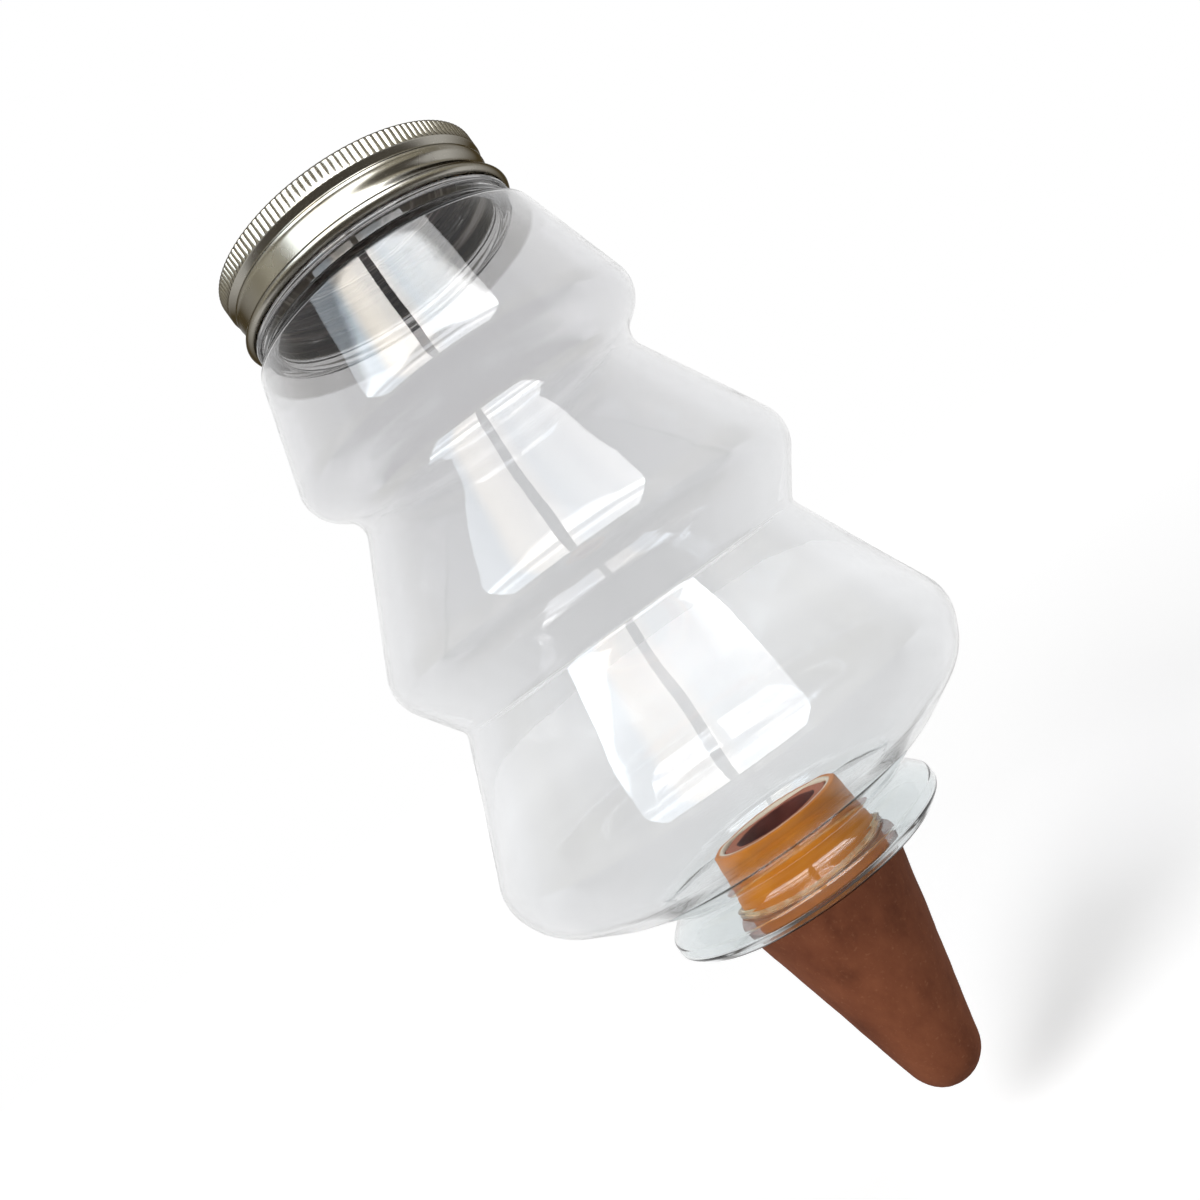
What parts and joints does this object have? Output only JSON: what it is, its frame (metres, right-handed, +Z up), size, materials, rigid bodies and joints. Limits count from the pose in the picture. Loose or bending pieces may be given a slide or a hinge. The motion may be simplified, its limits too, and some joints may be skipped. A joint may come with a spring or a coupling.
{
  "type": "plant waterer",
  "caption": "Clear tiered bottle with a screw lid on its wide neck and a hollow terracotta spike in a rubber sleeve in its foot; pushed into soil, it seeps water to the roots.",
  "frame": {"origin": "on the common axis, in the plane of the foot's underside, which is the soil line in use", "axes": "+Z runs up the common axis from the spike to the lid; -Y is the side that the picture shows"},
  "size_m": [0.1234, 0.1234, 0.2467],
  "materials": {
    "bottle_plastic": "clear and glossy",
    "lid_metal": "satin",
    "liner_seal": "smooth, dark",
    "sleeve_rubber": "smooth, a little shiny",
    "sealant": "clear and bubbly",
    "terracotta": "unglazed, matte"
  },
  "bodies": {
    "bottle_body": {"bottle": "bottle_plastic", "seal_sleeve": "sleeve_rubber", "sealant_bead": "sealant"},
    "liner_body": {"lid_liner": "liner_seal"},
    "lid_body": {"lid_shell": "lid_metal"},
    "spike_body": {"spike": "terracotta"}
  },
  "joints": [
    {"name": "lid_lift", "type": "slide", "parent": "bottle_body", "child": "liner_body", "axis": [0, 0, 1], "range_m": [0, 0.0149]},
    {"name": "lid_turn", "type": "hinge", "parent": "liner_body", "child": "lid_body", "pos_m": [0, 0, 0.179], "axis": [0, 0, 1], "range_deg": [0, 1260]},
    {"name": "spike_pull", "type": "slide", "parent": "bottle_body", "child": "spike_body", "axis": [0, 0, -1], "range_m": [0, 0.018]}
  ],
  "couplings": [
    {"joint": "lid_lift", "follows": "lid_turn", "m_per_rad": 0.00067322}
  ]
}
